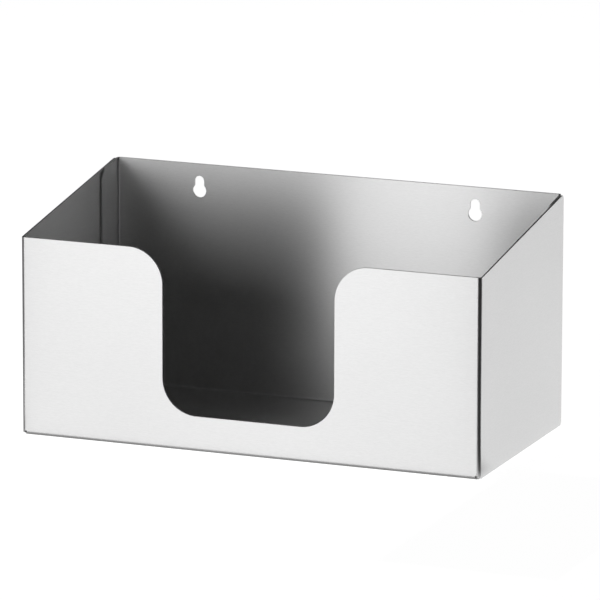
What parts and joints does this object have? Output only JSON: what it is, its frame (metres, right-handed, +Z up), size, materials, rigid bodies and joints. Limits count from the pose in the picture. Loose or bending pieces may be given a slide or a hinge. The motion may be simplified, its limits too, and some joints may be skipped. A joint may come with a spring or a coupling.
{
  "type": "paper towel dispenser",
  "caption": "Open-topped tray for folded paper towels, folded from one stainless steel sheet, with a rounded front cut-out, sloping sides and keyholes in its taller back.",
  "frame": {"origin": "on the underside, at the middle of the width and of the depth", "axes": "+Z up, -Y out of the low front with the cut-out, +Y out of the back towards the wall, X along the width"},
  "size_m": [0.27, 0.132, 0.132],
  "materials": {
    "brushed_stainless": "fine-grained brushed"
  },
  "bodies": {
    "root": {"folded_body": "brushed_stainless"}
  },
  "joints": []
}
